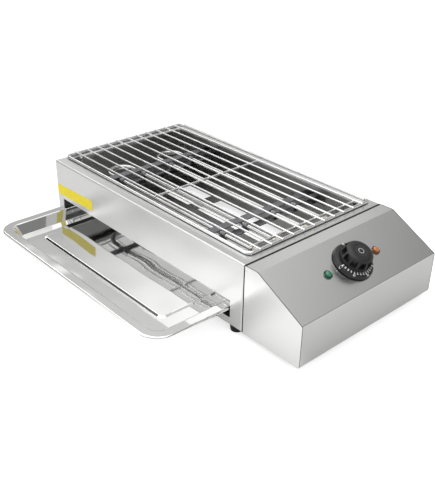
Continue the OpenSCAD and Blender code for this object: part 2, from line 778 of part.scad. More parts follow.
// Insulated leads: heater tabs to the block, the bridge between the heaters, thermostat to the block
lead_d = 3;
module power_leads() {
    x0 = heater_end_x + bead_l + pin_l;
    turn = 2 * lead_d;
    block_x = ctl_x + ctl_l / 2;
    top_z = block_h + 2 * sheet_t;
    pole = block_l / block_poles;
    block_y = body_d - block_inset;
    stat_y = (body_d + stat_w) / 2;
    stat_out = slope_point(knob_down + stat_l / 5, stat_h * 0.8);
    low_z = slope_point(knob_down, lamp_body_h + lamp_body_d)[1];
    color("firebrick") placed() on_shell() {
        wire([[x0, leg_y[0], heater_z], [x0 + turn, leg_y[0], heater_z], [x0 + turn, leg_y[0], top_z + 2 * turn],
              [x0 + turn, block_y - pole, top_z + 2 * turn], [block_x, block_y - pole, top_z + 2 * turn],
              [block_x, block_y - pole, top_z]], lead_d);
        wire([[x0, leg_y[1], heater_z], [x0 + turn / 2, leg_y[1], heater_z],
              [x0 + turn / 2, leg_y[1], heater_z + turn], [x0 + turn / 2, leg_y[2], heater_z + turn],
              [x0 + turn / 2, leg_y[2], heater_z], [x0, leg_y[2], heater_z]], lead_d);
        wire([[x0, leg_y[3], heater_z], [x0 + 2 * turn, leg_y[3], heater_z], [x0 + 2 * turn, block_y, heater_z],
              [block_x, block_y, heater_z], [block_x, block_y, top_z]], lead_d);
        wire([[stat_out[0], stat_y, stat_out[1]], [stat_out[0], stat_y + turn, stat_out[1]],
              [stat_out[0], stat_y + turn, low_z], [stat_out[0], block_y + pole, low_z],
              [block_x, block_y + pole, low_z], [block_x, block_y + pole, top_z]], lead_d);
    }
}

module earth_stud() {
    color("goldenrod") placed() on_shell()
        translate([ctl_x + ctl_l * 0.3, body_d * 0.8, 2 * sheet_t]) {
            cylinder(d = screw_d * 2, h = screw_d * 0.8, $fn = 6);
            cylinder(d = screw_d, h = screw_d * 3);
        }
}

// Cable gland through the back plate
module cable_gland() {
    flange_t = 3;
    color("#2b2b2b") placed() on_shell() translate([gland_x, body_d, gland_z]) rotate([-90, 0, 0])
        difference() {
            union() {
                cylinder(d = gland_d * 1.35, h = flange_t, $fn = 6);
                translate([0, 0, flange_t]) cylinder(d = gland_d, h = gland_out - flange_t);
                translate([0, 0, -gland_tail]) cylinder(d = gland_d, h = gland_tail);
            }
            translate([0, 0, -gland_tail - cut]) cylinder(d = gland_bore, h = gland_out + gland_tail + 2 * cut);
        }
}
gland_tail = 9;

module gland_nut() {
    color("#2b2b2b") placed() on_shell() translate([gland_x, body_d - sheet_t, gland_z]) rotate([90, 0, 0])
        difference() {
            cylinder(d = gland_d * 1.35, h = gland_tail / 2, $fn = 6);
            translate([0, 0, -cut]) cylinder(d = gland_d + 2 * seat, h = gland_tail);
        }
}

// Rubber foot, hollowed for its screw head
module foot() {
    difference() {
        cylinder(d1 = foot_d * 0.86, d2 = foot_d, h = foot_h);
        translate([0, 0, -cut]) cylinder(d = screw_head_d + 2 * fit, h = foot_h / 2 + cut);
        cylinder(d = screw_d + 2 * seat, h = foot_h + cut);
    }
}

module foot_front_left() {
    color("#1c1c1c") placed() translate([foot_inset_x, foot_inset, 0]) foot();
}

module foot_front_right() {
    color("#1c1c1c") placed() translate([body_l - foot_inset_x, foot_inset, 0]) foot();
}

module foot_back_left() {
    color("#1c1c1c") placed() translate([foot_inset_x, body_d - foot_inset, 0]) foot();
}

module foot_back_right() {
    color("#1c1c1c") placed() translate([body_l - foot_inset_x, body_d - foot_inset, 0]) foot();
}

// Pan-head screw, head down, its shank rising by l from the head's seat
module pan_screw(l) {
    translate([0, 0, -screw_head_h]) cylinder(d = screw_head_d, h = screw_head_h);
    cylinder(d = screw_d, h = l);
}

module foot_screws() {
    color("silver") placed() foot_places() translate([0, 0, foot_h / 2]) pan_screw(foot_h / 2 + 4 * sheet_t);
}

module panel_screws() {
    color("silver") placed() on_shell() panel_screw_places() pan_screw(4 * sheet_t);
}

// Screws that hold the cover to its base, from below
module cover_screw_places() {
    for (y = [body_d * 0.2, body_d * 0.8]) translate([ctl_x + ctl_l - flange_w / 2, y, 0]) children();
}

module cover_screws() {
    color("silver") placed() on_shell() cover_screw_places() pan_screw(4 * sheet_t);
}

// Screws with a collar in the seam and a nut in the fire box, which join the control box to it
join_inset = [30, 12, 8];
module joining_places() {
    for (y = [join_inset[0], body_d - join_inset[0]]) for (z = [join_inset[1], body_h - join_inset[2]])
        translate([body_l - sheet_t, y, z]) rotate([0, 90, 0]) children();
}

module joining_screws() {
    color("silver") placed() on_shell() joining_places() {
        translate([0, 0, 2 * sheet_t + seam_gap]) mirror([0, 0, 1]) pan_screw(4 * sheet_t + seam_gap);
        translate([0, 0, sheet_t]) cylinder(d = screw_head_d, h = seam_gap);
        translate([0, 0, -screw_head_h]) cylinder(d = screw_head_d, h = screw_head_h, $fn = 6);
    }
}

body_shell();
bottom_panel();
divider_wall();
tray_rail_left();
tray_rail_right();
drip_tray();
wire_grid();
heater_front();
heater_back();
heater_ferrules();
ferrule_nuts();
heater_terminals();
hold_straps();
carry_straps();
strap_clips();
sensor_bulb();
bulb_clips();
control_cover();
control_front_plate();
control_back_plate();
control_base();
thermostat_body();
thermostat_shaft();
knob_skirt();
knob_grip();
knob_cap();
lamp_green();
lamp_orange();
lamp_bodies();
terminal_block();
power_leads();
earth_stud();
cable_gland();
gland_nut();
foot_front_left();
foot_front_right();
foot_back_left();
foot_back_right();
foot_screws();
panel_screws();
cover_screws();
joining_screws();
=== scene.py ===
import json
import math

import bmesh
import bpy
from mathutils import Matrix, Vector
from mathutils.bvhtree import BVHTree


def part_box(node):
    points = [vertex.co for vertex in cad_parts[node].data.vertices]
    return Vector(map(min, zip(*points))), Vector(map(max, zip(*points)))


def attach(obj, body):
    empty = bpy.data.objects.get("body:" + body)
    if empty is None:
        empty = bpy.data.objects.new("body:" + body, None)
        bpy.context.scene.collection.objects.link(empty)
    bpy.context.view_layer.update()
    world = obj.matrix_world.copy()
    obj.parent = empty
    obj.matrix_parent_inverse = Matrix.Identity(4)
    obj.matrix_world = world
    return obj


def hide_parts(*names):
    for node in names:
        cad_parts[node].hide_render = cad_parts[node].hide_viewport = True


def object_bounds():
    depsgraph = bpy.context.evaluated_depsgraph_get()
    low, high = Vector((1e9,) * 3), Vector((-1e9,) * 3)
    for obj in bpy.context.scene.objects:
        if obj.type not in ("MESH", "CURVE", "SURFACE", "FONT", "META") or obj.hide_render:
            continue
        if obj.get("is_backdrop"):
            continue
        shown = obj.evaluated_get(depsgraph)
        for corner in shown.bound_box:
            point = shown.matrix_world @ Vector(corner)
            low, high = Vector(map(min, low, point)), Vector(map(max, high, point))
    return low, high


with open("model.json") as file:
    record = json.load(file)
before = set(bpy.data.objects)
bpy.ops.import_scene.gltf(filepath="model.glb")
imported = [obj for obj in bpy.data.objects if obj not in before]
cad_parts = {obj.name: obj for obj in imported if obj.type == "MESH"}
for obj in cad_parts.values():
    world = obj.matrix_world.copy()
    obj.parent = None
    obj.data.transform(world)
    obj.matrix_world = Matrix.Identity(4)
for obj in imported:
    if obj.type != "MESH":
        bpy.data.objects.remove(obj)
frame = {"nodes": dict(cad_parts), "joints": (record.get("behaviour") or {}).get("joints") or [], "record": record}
nodes = frame["nodes"]
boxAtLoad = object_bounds()
print("grill frame loaded with", len(nodes), "nodes")

# the fire box's corners and size in millimetres
shellLow, shellHigh = (Vector([round(side * 1000, 3) for side in corner]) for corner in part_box("body_shell"))
shellSize = shellHigh - shellLow


def inFrame(x, y, z):
    # millimetres from the fire box's left end, front wall and lower edge to frame metres
    return (shellLow + Vector((x, y, z))) / 1000


# small helpers for node trees

def feed(tree, node, values):
    # links what comes from another node and sets what is a plain value
    for socket, source in values.items():
        if isinstance(source, bpy.types.NodeSocket):
            tree.links.new(source, node.inputs[socket])
        else:
            node.inputs[socket].default_value = source


def addNode(tree, kind, values=None, **settings):
    node = tree.nodes.new(kind)
    for key, value in settings.items():
        setattr(node, key, value)
    feed(tree, node, values or {})
    return node


def calc(tree, operation, a, b=None):
    values = {0: a} if b is None else {0: a, 1: b}
    return addNode(tree, "ShaderNodeMath", values, operation=operation).outputs[0]


def spread(tree, value, low, high, toLow, toHigh):
    # the range low to high is stretched over toLow to toHigh and held beyond it
    return addNode(tree, "ShaderNodeMapRange", {0: value, 1: low, 2: high, 3: toLow, 4: toHigh}).outputs[0]


def mixValue(tree, share, first, second):
    return addNode(tree, "ShaderNodeMix", {0: share, 2: first, 3: second}, data_type="FLOAT").outputs[0]


def mixTone(tree, share, first, second, mode="MIX"):
    first, second = (c if isinstance(c, bpy.types.NodeSocket) else (*c, 1) for c in (first, second))
    return addNode(tree, "ShaderNodeMix", {0: share, 6: first, 7: second},
                   data_type="RGBA", blend_type=mode).outputs[2]


def shadeTone(tree, colour, tone):
    # a colour made lighter or darker by one value
    grey = addNode(tree, "ShaderNodeCombineColor", {0: tone, 1: tone, 2: tone}).outputs[0]
    return mixTone(tree, 1.0, colour, grey, "MULTIPLY")


def split(tree, vector):
    return addNode(tree, "ShaderNodeSeparateXYZ", {0: vector}).outputs


def stretch(tree, vector, factors):
    return addNode(tree, "ShaderNodeVectorMath", {0: vector, 1: factors}, operation="MULTIPLY").outputs[0]


def reachOf(tree, a, b):
    # distance from zero in two directions
    return calc(tree, "SQRT", calc(tree, "ADD", calc(tree, "MULTIPLY", a, a), calc(tree, "MULTIPLY", b, b)))


def noise(tree, place, size, detail=2.0, roughness=0.5, distortion=0.0):
    return addNode(tree, "ShaderNodeTexNoise", {
        "Vector": place, "Scale": size, "Detail": detail, "Roughness": roughness,
        "Distortion": distortion}).outputs["Fac"]


def newGroup(name, sizes, results):
    # a shared effect that reads a place and a few sizes
    group = bpy.data.node_groups.new(name, "ShaderNodeTree")
    group.interface.new_socket("Place", in_out="INPUT", socket_type="NodeSocketVector")
    for label, value in sizes.items():
        group.interface.new_socket(label, in_out="INPUT", socket_type="NodeSocketFloat").default_value = value
    for label in results:
        group.interface.new_socket(label, in_out="OUTPUT", socket_type="NodeSocketFloat")
    return group, group.nodes.new("NodeGroupInput").outputs, group.nodes.new("NodeGroupOutput")


def placeGroup(tree, group, values):
    return addNode(tree, "ShaderNodeGroup", values, node_tree=group).outputs


# effects that several finishes share

grainShape = {"detail": 4.0, "roughness": 0.62, "flat": (0.55, 0.8)}


def makeRolledGrain():
    # fine lines of rolled sheet: level on the walls, lengthwise on the flat tops
    sizes = {"Line Length": 16.0, "Line Width": 900.0, "Contrast": 0.1}
    group, takes, gives = newGroup("rolledGrain", sizes, ("Tone", "Gloss", "Height"))
    results = []
    for along in ((1, 1, 0), (1, 0, 1)):
        parts = [takes["Line Length"] if a else takes["Line Width"] for a in along]
        factors = addNode(group, "ShaderNodeCombineXYZ", dict(enumerate(parts))).outputs[0]
        results.append(noise(group, stretch(group, takes["Place"], factors), 1.0,
                             grainShape["detail"], grainShape["roughness"]))
    face = split(group, addNode(group, "ShaderNodeNewGeometry").outputs["Normal"])[2]
    flat = spread(group, calc(group, "ABSOLUTE", face), *grainShape["flat"], 0.0, 1.0)
    lines = mixValue(group, flat, *results)
    centred = calc(group, "MULTIPLY", calc(group, "SUBTRACT", lines, 0.5), takes["Contrast"])
    feed(group, gives, {"Tone": calc(group, "ADD", centred, 1.0), "Gloss": centred, "Height": lines})
    return group


markShape = {"detail": 2.5, "roughness": 0.45, "distortion": 0.2, "range": (0.36, 0.74)}


def makeHandMarks():
    # faint cloudy marks that wiping and handling leave on bare metal and plastic
    group, takes, gives = newGroup("handMarks", {"Size": 14.0, "Strength": 0.08}, ("Tone", "Gloss"))
    cloud = noise(group, takes["Place"], takes["Size"], markShape["detail"], markShape["roughness"],
                  markShape["distortion"])
    patch = calc(group, "MULTIPLY", spread(group, cloud, *markShape["range"], 0.0, 1.0), takes["Strength"])
    feed(group, gives, {"Tone": calc(group, "SUBTRACT", 1.0, patch), "Gloss": patch})
    return group


skinShape = {"fineShare": 0.35, "detail": 3.0, "range": (0.3, 0.7), "tone": (0.86, 1.14)}


def makeMouldSkin():
    # pebbled skin of a moulded plastic or rubber part
    group, takes, gives = newGroup("mouldSkin", {"Grain Size": 900.0}, ("Height", "Tone"))
    cells = addNode(group, "ShaderNodeTexVoronoi", {
        "Vector": takes["Place"], "Scale": takes["Grain Size"]}).outputs["Distance"]
    fineSize = calc(group, "MULTIPLY", takes["Grain Size"], skinShape["fineShare"])
    fine = noise(group, takes["Place"], fineSize, skinShape["detail"])
    feed(group, gives, {"Height": calc(group, "ADD", cells, fine),
                        "Tone": spread(group, fine, *skinShape["range"], *skinShape["tone"])})
    return group


dustShape = {"speckSize": 160.0, "detail": 6.0, "roughness": 0.7, "upward": (0.1, 0.9, 0.0, 1.0),
             "speck": (0.45, 0.7, 0.2, 1.0), "colour": (0.45, 0.44, 0.42), "dulling": 0.4}


def makeSettledDust():
    # thin dust on faces that look upwards
    group, takes, gives = newGroup("settledDust", {"Amount": 0.1}, ("Mask",))
    up = split(group, addNode(group, "ShaderNodeNewGeometry").outputs["Normal"])[2]
    speck = noise(group, takes["Place"], dustShape["speckSize"], dustShape["detail"], dustShape["roughness"])
    mask = calc(group, "MULTIPLY", spread(group, up, *dustShape["upward"]),
                spread(group, speck, *dustShape["speck"]))
    feed(group, gives, {"Mask": calc(group, "MULTIPLY", mask, takes["Amount"])})
    return group


rolledGrain = makeRolledGrain()
handMarks = makeHandMarks()
mouldSkin = makeMouldSkin()
settledDust = makeSettledDust()
print("surface effects ready")


def startMaterial(name):
    material = bpy.data.materials.new(name)
    material.use_nodes = True
    tree = material.node_tree
    place = addNode(tree, "ShaderNodeTexCoord").outputs["Object"]
    return material, tree, tree.nodes["Principled BSDF"], place


bumpDepth = {"grain": 0.00002, "draw": 0.00003, "mould": 0.00004, "ink": 0.00002, "lens": 0.0001}


def feedBump(tree, shader, height, strength, distance):
    bump = addNode(tree, "ShaderNodeBump", {"Height": height, "Strength": strength, "Distance": distance})
    tree.links.new(bump.outputs["Normal"], shader.inputs["Normal"])
    return bump.outputs["Normal"]


# metals of the fire box, the tray and the control box

chamber = {"skin": 0.3, "rimSheet": 1.0, "edge": 0.0004}


def insideMask(tree, place):
    # the walls of the fire chamber, in a darker tone than the outside, told from the outside by their place
    parts = split(tree, place)
    skin = chamber["skin"]
    low = inFrame(skin, skin, 0)
    high = inFrame(shellSize.x - skin, shellSize.y - skin, shellSize.z - chamber["rimSheet"])
    share = spread(tree, parts[2], high.z, high.z - chamber["edge"], 0.0, 1.0)
    for i in (0, 1):
        for side, inward in ((low[i], chamber["edge"]), (high[i], -chamber["edge"])):
            share = calc(tree, "MULTIPLY", share, spread(tree, parts[i], side, side + inward, 0.0, 1.0))
    return share


gridLow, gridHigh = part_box("wire_grid")
gridMiddle = (gridLow + gridHigh) / 2
# painted shadow round the grid's frame, where it rests on the rim
gridSeatShadow = {"half": (219.0, 125.0), "corner": 9.0, "offset": 0.9, "reach": 2.1, "depth": 0.93,
            "above": 100.0, "fade": 0.001}


def seatMask(tree, place):
    # painted shadow: a dark line round the grid, where its frame rests on the rim
    parts = split(tree, place)
    corner = gridSeatShadow["corner"] / 1000
    over = []
    for i in (0, 1):
        away = calc(tree, "ABSOLUTE", calc(tree, "SUBTRACT", parts[i], gridMiddle[i]))
        over.append(calc(tree, "SUBTRACT", away, gridSeatShadow["half"][i] / 1000 - corner))
    rounded = reachOf(tree, *(calc(tree, "MAXIMUM", side, 0.0) for side in over))
    inner = calc(tree, "MINIMUM", calc(tree, "MAXIMUM", *over), 0.0)
    gap = calc(tree, "SUBTRACT", calc(tree, "ADD", rounded, inner), corner + gridSeatShadow["offset"] / 1000)
    line = spread(tree, calc(tree, "ABSOLUTE", gap), gridSeatShadow["reach"] / 2000, gridSeatShadow["reach"] / 1000,
                  gridSeatShadow["depth"], 0.0)
    level = inFrame(0, 0, gridSeatShadow["above"]).z
    return calc(tree, "MULTIPLY", line, spread(tree, parts[2], level, level + gridSeatShadow["fade"], 0.0, 1.0))


coverLook = dict(
    colour=(0.82, 0.82, 0.81), roughness=0.24,
    lineLength=9, lineWidth=240, contrast=0.014, grainBump=0.0,
    markSize=12, marks=0.02, waveSize=8, wave=0.0003)
sheetLooks = {
    "shell_steel": dict(
        # the seat colour below is the painted shadow round the grid's frame
        colour=(0.80, 0.80, 0.79), roughness=0.285, inside=(0.50, 0.50, 0.49), seat=(0.05, 0.048, 0.045),
        lineLength=9, lineWidth=240, contrast=0.014, grainBump=0.0,
        markSize=11, marks=0.03, waveSize=7, wave=0.0006),
    "inner_steel": dict(
        colour=(0.52, 0.52, 0.515), roughness=0.34,
        lineLength=20, lineWidth=900, contrast=0.10, grainBump=0.1,
        markSize=18, marks=0.1, waveSize=13, wave=0.0012),
    "tray_steel": dict(
        colour=(0.92, 0.92, 0.91), roughness=0.045,
        lineLength=12, lineWidth=1200, contrast=0.03, grainBump=0.02,
        markSize=9, marks=0.02, waveSize=12, wave=0.0011),
    "cover_steel": coverLook,
    "plate_steel": coverLook,
    "strap_steel": dict(
        colour=(0.26, 0.26, 0.27), roughness=0.38,
        lineLength=30, lineWidth=900, contrast=0.3, grainBump=0.3,
        markSize=26, marks=0.15, waveSize=20, wave=0.0003),
}


def sheetFinish(name, look):
    # rolled or polished sheet: grain, hand marks and a slow wave in the surface
    material, tree, shader, place = startMaterial(name)
    grain = placeGroup(tree, rolledGrain, {
        "Place": place, "Line Length": look["lineLength"], "Line Width": look["lineWidth"],
        "Contrast": look["contrast"]})
    marks = placeGroup(tree, handMarks, {"Place": place, "Size": look["markSize"], "Strength": look["marks"]})
    colour = shadeTone(tree, look["colour"], calc(tree, "MULTIPLY", grain["Tone"], marks["Tone"]))
    if "inside" in look:
        colour = mixTone(tree, insideMask(tree, place), colour, look["inside"])
        # painted shadow line on the rim round the grid's frame
        colour = mixTone(tree, seatMask(tree, place), colour, look["seat"])
    gloss = calc(tree, "ADD", calc(tree, "ADD", grain["Gloss"], marks["Gloss"]), look["roughness"])
    feed(tree, shader, {"Base Color": colour, "Roughness": gloss, "Metallic": 1.0})
    slow = feedBump(tree, shader, noise(tree, place, look["waveSize"], detail=1.0), 1.0, look["wave"])
    fine = addNode(tree, "ShaderNodeBump", {
        "Height": grain["Height"], "Strength": look["grainBump"], "Distance": bumpDepth["grain"],
        "Normal": slow})
    tree.links.new(fine.outputs["Normal"], shader.inputs["Normal"])
    return material


drawnSkin = {"detail": 3.0, "range": (0.3, 0.7), "tone": (0.94, 1.04), "gloss": (0.8, 1.2), "tintFrom": 0.4,
             "tintTo": 0.7}
wireLooks = {
    "grid_chrome": dict(
        colour=(0.95, 0.95, 0.95), roughness=0.18, markSize=30, marks=0.04, drawn=(40, 900, 900),
        tintSize=9, tint=(0.76, 0.77, 0.80), tintShare=0.5, bump=0.1),
    "heater_sheath": dict(
        colour=(0.64, 0.64, 0.63), roughness=0.20, markSize=40, marks=0.03, drawn=(25, 700, 700),
        tintSize=16, tint=(0.50, 0.49, 0.47), tintShare=0.5, bump=0.15),
    "ferrule_brass": dict(
        colour=(0.52, 0.49, 0.43), roughness=0.28, markSize=60, marks=0.15, drawn=(60, 900, 900),
        tintSize=40, tint=(0.42, 0.37, 0.29), tintShare=0.6, bump=0.3),
    "sensor_copper": dict(
        colour=(0.72, 0.40, 0.28), roughness=0.3, markSize=60, marks=0.15, drawn=(60, 900, 900),
        tintSize=40, tint=(0.50, 0.27, 0.18), tintShare=0.6, bump=0.3),
    "shaft_steel": dict(
        colour=(0.62, 0.58, 0.48), roughness=0.3, markSize=80, marks=0.1, drawn=(900, 900, 60),
        tintSize=60, tint=(0.50, 0.46, 0.38), tintShare=0.5, bump=0.2),
    "screw_zinc": dict(
        colour=(0.58, 0.59, 0.60), roughness=0.3, markSize=120, marks=0.15, drawn=(600, 600, 200),
        tintSize=90, tint=(0.50, 0.51, 0.44), tintShare=0.6, bump=0.25),
}


def wireFinish(name, look):
    # drawn wire and rod: bright skin with faint draw lines and a little heat tint
    material, tree, shader, place = startMaterial(name)
    marks = placeGroup(tree, handMarks, {"Place": place, "Size": look["markSize"], "Strength": look["marks"]})
    lines = noise(tree, stretch(tree, place, look["drawn"]), 1.0, drawnSkin["detail"])
    tint = spread(tree, noise(tree, place, look["tintSize"]), drawnSkin["tintFrom"], drawnSkin["tintTo"],
                  0.0, look["tintShare"])
    drawn = spread(tree, lines, *drawnSkin["range"], *drawnSkin["tone"])
    shade = calc(tree, "MULTIPLY", marks["Tone"], drawn)
    ends = (look["roughness"] * share for share in drawnSkin["gloss"])
    gloss = calc(tree, "ADD", marks["Gloss"], spread(tree, lines, *drawnSkin["range"], *ends))
    colour = shadeTone(tree, mixTone(tree, tint, look["colour"], look["tint"]), shade)
    feed(tree, shader, {"Base Color": colour, "Roughness": gloss, "Metallic": 1.0})
    feedBump(tree, shader, lines, look["bump"], bumpDepth["draw"])
    return material


finishes = {name: sheetFinish(name, look) for name, look in sheetLooks.items()}
finishes.update({name: wireFinish(name, look) for name, look in wireLooks.items()})
print("metal finishes ready:", ", ".join(finishes))


# plastics, rubber and ceramic

mouldedLooks = {
    "knob_black": dict(
        colour=(0.014, 0.014, 0.015), roughness=0.40, grain=1500, bump=0.2, markSize=45, marks=0.10,
        dust=0.010, coat=0.0),
    "lamp_nylon": dict(
        colour=(0.62, 0.61, 0.57), roughness=0.45, grain=1200, bump=0.3, markSize=60, marks=0.1,
        dust=0.05, coat=0.0),
    "lead_silicone": dict(
        colour=(0.70, 0.68, 0.62), roughness=0.5, grain=1600, bump=0.4, markSize=80, marks=0.1,
        dust=0.05, coat=0.0),
    "foot_rubber": dict(
        colour=(0.016, 0.016, 0.017), roughness=0.62, grain=900, bump=0.5, markSize=60, marks=0.15,
        dust=0.12, coat=0.0),
    "terminal_ceramic": dict(
        colour=(0.80, 0.78, 0.72), roughness=0.38, grain=700, bump=0.3, markSize=50, marks=0.08,
        dust=0.05, coat=0.1),
}
glazeRoughness = 0.12


def mouldedFinish(name, look):
    # moulded or fired skin with hand marks and a little dust, under a thin glaze where coat is set
    material, tree, shader, place = startMaterial(name)
    skin = placeGroup(tree, mouldSkin, {"Place": place, "Grain Size": look["grain"]})
    marks = placeGroup(tree, handMarks, {"Place": place, "Size": look["markSize"], "Strength": look["marks"]})
    dust = placeGroup(tree, settledDust, {"Place": place, "Amount": look["dust"]})["Mask"]
    colour = shadeTone(tree, look["colour"], calc(tree, "MULTIPLY", skin["Tone"], marks["Tone"]))
    gloss = calc(tree, "ADD", calc(tree, "MULTIPLY", dust, dustShape["dulling"]),
                 calc(tree, "ADD", marks["Gloss"], look["roughness"]))
    feed(tree, shader, {
        "Base Color": mixTone(tree, dust, colour, dustShape["colour"]), "Roughness": gloss,
        "Coat Weight": look["coat"], "Coat Roughness": glazeRoughness})
    feedBump(tree, shader, skin["Height"], look["bump"], bumpDepth["mould"])
    return material


finishes.update({name: mouldedFinish(name, look) for name, look in mouldedLooks.items()})


# control slope: everything on it stands square to the dial's axis

dialTurn = next(joint for joint in frame["joints"] if joint["name"] == "dial_turn")
slope = {"middle": Vector(dialTurn["pos_m"]), "outward": Vector(dialTurn["axis"])}
slope["downhill"] = Vector((slope["outward"].z, 0, -slope["outward"].x))


def onSlope(down, across, height):
    # metres down the slope, across it and out of it, from the knob's axis
    return slope["middle"] + slope["downhill"] * down + Vector((0, across, 0)) + slope["outward"] * height


def aboutAxis(tree, place, across):
    # distance from an axis square to the slope, so that rings follow knob and lamps
    lean = Matrix((slope["downhill"], Vector((0, 1, 0)), slope["outward"])).transposed().to_euler()
    mapping = addNode(tree, "ShaderNodeMapping", {
        "Vector": place, "Location": onSlope(0, across, 0), "Rotation": lean}, vector_type="TEXTURE")
    parts = split(tree, mapping.outputs[0])
    return reachOf(tree, parts[0], parts[1])


capLook = {"inlay": (0.0030, 0.0043), "ring": (0.0072, 0.0082), "edge": 0.0003, "dark": (0.016, 0.016, 0.017),
           "light": (0.36, 0.36, 0.36), "line": (0.05, 0.05, 0.052), "gloss": (0.32, 0.22), "grain": 1500.0,
           "markSize": 60.0, "marks": 0.1, "bump": 0.2}


def capFinish():
    # black cap with a pale ring in its middle and a fine line near its edge
    material, tree, shader, place = startMaterial("knob_cap")
    reach = aboutAxis(tree, place, 0)
    skin = placeGroup(tree, mouldSkin, {"Place": place, "Grain Size": capLook["grain"]})
    marks = placeGroup(tree, handMarks, {
        "Place": place, "Size": capLook["markSize"], "Strength": capLook["marks"]})
    inlay, ring = (calc(tree, "MULTIPLY", spread(tree, reach, low, low + capLook["edge"], 0.0, 1.0),
                        spread(tree, reach, high, high + capLook["edge"], 1.0, 0.0))
                   for low, high in (capLook["inlay"], capLook["ring"]))
    colour = mixTone(tree, inlay, capLook["dark"], capLook["light"])
    colour = mixTone(tree, ring, colour, capLook["line"])
    gloss = calc(tree, "ADD", marks["Gloss"], spread(tree, inlay, 0.0, 1.0, *capLook["gloss"]))
    feed(tree, shader, {
        "Base Color": shadeTone(tree, colour, calc(tree, "MULTIPLY", skin["Tone"], marks["Tone"])),
        "Roughness": gloss})
    feedBump(tree, shader, skin["Height"], capLook["bump"], bumpDepth["mould"])
    return material


lampLooks = {
    "lens_green": dict(piece="greenLens", node="lamp_green", colour=(0.035, 0.20, 0.12)),
    "lens_orange": dict(piece="orangeLens", node="lamp_orange", colour=(0.48, 0.17, 0.05)),
}
# rim sets how the lens darkens towards its flange: painted shade at its edge
lensGlass = {"ringPitch": 5200.0, "ringTone": (0.8, 1.15), "rim": (0.0040, 0.0052, 1.0, 0.22),
             "roughness": 0.10, "markSize": 120.0, "marks": 0.08, "coat": 0.6, "coatRoughness": 0.05,
             "bump": 0.15, "glow": 0.15, "glowDepth": 0.004}


def lampAcross(node):
    # how far a lamp stands from the knob's axis, across the slope
    low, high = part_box(node)
    return (low.y + high.y) / 2 - slope["middle"].y


def lensFinish(name, look):
    # moulded lens: rings cut in its back show as darker and lighter bands
    material, tree, shader, place = startMaterial(name)
    reach = aboutAxis(tree, place, lampAcross(look["node"]))
    bands = calc(tree, "SINE", calc(tree, "MULTIPLY", reach, lensGlass["ringPitch"]))
    # the rings' bands, with the tone falling towards the flange as painted shade
    tone = calc(tree, "MULTIPLY", spread(tree, bands, -1.0, 1.0, *lensGlass["ringTone"]),
                spread(tree, reach, *lensGlass["rim"]))
    marks = placeGroup(tree, handMarks, {
        "Place": place, "Size": lensGlass["markSize"], "Strength": lensGlass["marks"]})
    feed(tree, shader, {
        "Base Color": shadeTone(tree, look["colour"], tone),
        "Roughness": calc(tree, "ADD", marks["Gloss"], lensGlass["roughness"]),
        "Coat Weight": lensGlass["coat"], "Coat Roughness": lensGlass["coatRoughness"],
        "Subsurface Weight": lensGlass["glow"], "Subsurface Scale": lensGlass["glowDepth"]})
    feedBump(tree, shader, bands, lensGlass["bump"], bumpDepth["lens"])
    return material


finishes["knob_cap"] = capFinish()
finishes.update({name: lensFinish(name, look) for name, look in lampLooks.items()})
print("moulded finishes ready")

slotOf = {part["node"]: part["material_slot"] for part in frame["record"]["subparts"]}
for name, node in nodes.items():
    node.data.materials.clear()
    node.data.materials.append(finishes[slotOf[name]])
print("finishes put on the frame's nodes")


# small helpers for pieces

def addObject(name, data):
    thing = bpy.data.objects.new(name, data)
    bpy.context.scene.collection.objects.link(thing)
    return thing


def takeMesh(holder):
    # the holder's evaluated shape as a plain mesh, after which the holder goes
    mesh = bpy.data.meshes.new_from_object(holder.evaluated_get(bpy.context.evaluated_depsgraph_get()))
    holder.modifiers.clear()
    bpy.data.objects.remove(holder)
    return mesh


def wrapRings(rings, flatEnds=False):
    # joins rings of points into one closed shell, its ends flat or drawn to their middle
    shape = bmesh.new()
    rows = [[shape.verts.new(point) for point in ring] for ring in rings]
    for low, high in zip(rows, rows[1:]):
        for k in range(len(low)):
            j = (k + 1) % len(low)
            shape.faces.new((low[k], low[j], high[j], high[k]))
    for row in (rows[0], rows[-1]):
        if flatEnds:
            shape.faces.new(row)
        else:
            middle = shape.verts.new(sum((v.co for v in row), Vector()) / len(row))
            for k in range(len(row)):
                shape.faces.new((row[k], row[(k + 1) % len(row)], middle))
    return shape


sharpFrom = 32.0


def keepShape(name, shape, material, smooth=False):
    # the shape as an object, smooth or flat; a smooth one stays sharp along bends past sharpFrom degrees
    bmesh.ops.recalc_face_normals(shape, faces=shape.faces)
    mesh = bpy.data.meshes.new(name)
    shape.to_mesh(mesh)
    shape.free()
    mesh.materials.append(material)
    if smooth:
        mesh.shade_smooth()
        mesh.set_sharp_from_angle(angle=math.radians(sharpFrom))
    return addObject(name, mesh)


def startTree(name, sizes):
    # a geometry tree whose named inputs are the given sizes
    tree = bpy.data.node_groups.new(name, "GeometryNodeTree")
    tree.interface.new_socket("Geometry", in_out="OUTPUT", socket_type="NodeSocketGeometry")
    for label, value in sizes.items():
        kind = "NodeSocketInt" if isinstance(value, int) else "NodeSocketFloat"
        tree.interface.new_socket(label, in_out="INPUT", socket_type=kind).default_value = value
    return tree, tree.nodes.new("NodeGroupInput").outputs, tree.nodes.new("NodeGroupOutput")


def closeTree(tree, gives, geometry, material):
    whole = addNode(tree, "GeometryNodeRealizeInstances", {0: geometry}).outputs[0]
    painted = addNode(tree, "GeometryNodeSetMaterial", {"Geometry": whole, "Material": material}).outputs[0]
    feed(tree, gives, {0: painted})


def growPiece(name, tree, sizes, place=None):
    # evaluates the tree once and keeps its result as a plain mesh
    holder = addObject(name + "Source", bpy.data.meshes.new(name + "Source"))
    modifier = holder.modifiers.new("grow", "NODES")
    modifier.node_group = tree
    keys = {item.name: item.identifier for item in tree.interface.items_tree
            if item.item_type == "SOCKET" and item.in_out == "INPUT"}
    for label, value in sizes.items():
        modifier[keys[label]] = value
    mesh = takeMesh(holder)
    mesh.name = name
    if place is not None:
        mesh.transform(place)
    return addObject(name, mesh)


# weld beads of the grid

